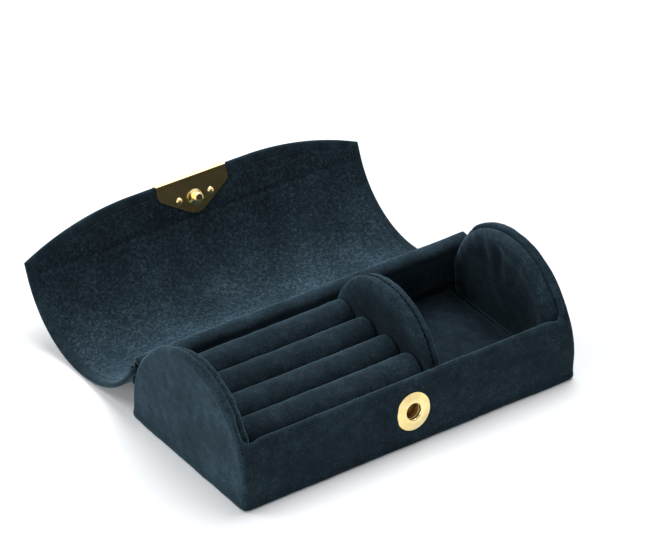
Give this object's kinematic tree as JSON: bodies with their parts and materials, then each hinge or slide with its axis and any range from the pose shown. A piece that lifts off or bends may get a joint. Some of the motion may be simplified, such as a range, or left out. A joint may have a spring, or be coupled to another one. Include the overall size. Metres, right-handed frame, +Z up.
{
  "type": "jewellery case",
  "caption": "Half-barrel velvet jewellery case with padded ring rolls, an open compartment, a curved fabric-hinged lid and a press-stud flap.",
  "frame": {"origin": "centre of the base's flat underside, on the table", "axes": "+X along the case to the open compartment's end, -Y out of the front wall with the socket, +Z up"},
  "size_m": [0.154, 0.1472, 0.045],
  "materials": {
    "velvet": "short-nap velvet over board or foam",
    "felt": "plain cloth",
    "board": "greyboard",
    "brass": "polished, lacquered",
    "spring_steel": "plain wire"
  },
  "bodies": {
    "base": {"base_felt": "felt", "base_board": "board", "front_wall": "velvet", "back_wall": "velvet", "left_end_panel": "velvet", "right_end_panel": "velvet", "left_end_pad": "velvet", "right_end_pad": "velvet", "divider_left_panel": "velvet", "divider_right_panel": "velvet", "ring_bed": "velvet", "ring_roll_1": "velvet", "ring_roll_2": "velvet", "ring_roll_3": "velvet", "ring_roll_4": "velvet", "floor_pad": "velvet", "hinge_bead": "velvet", "socket_ring": "brass", "socket_spring": "spring_steel", "socket_cup": "brass"},
    "lid": {"hinge_tape": "velvet", "lid_cover": "velvet", "lid_board": "board", "lid_lining": "velvet"},
    "front_flap": {"flap_cover": "velvet", "flap_board": "board", "flap_lining": "velvet", "clasp_plate": "brass", "clasp_stud": "brass", "clasp_rivet_left": "brass", "clasp_rivet_right": "brass"}
  },
  "joints": [
    {"name": "lid_hinge", "type": "hinge", "parent": "base", "child": "lid", "pos_m": [0, 0.0336, 0.0252], "axis": [1, 0, 0], "range_deg": [0, 183.19]},
    {"name": "flap_crease", "type": "hinge", "parent": "lid", "child": "front_flap", "pos_m": [0, 0.10405, 0.02373], "axis": [1, 0, 0], "range_deg": [-25, 0], "stiffness_Nm_per_rad": 0.02}
  ]
}
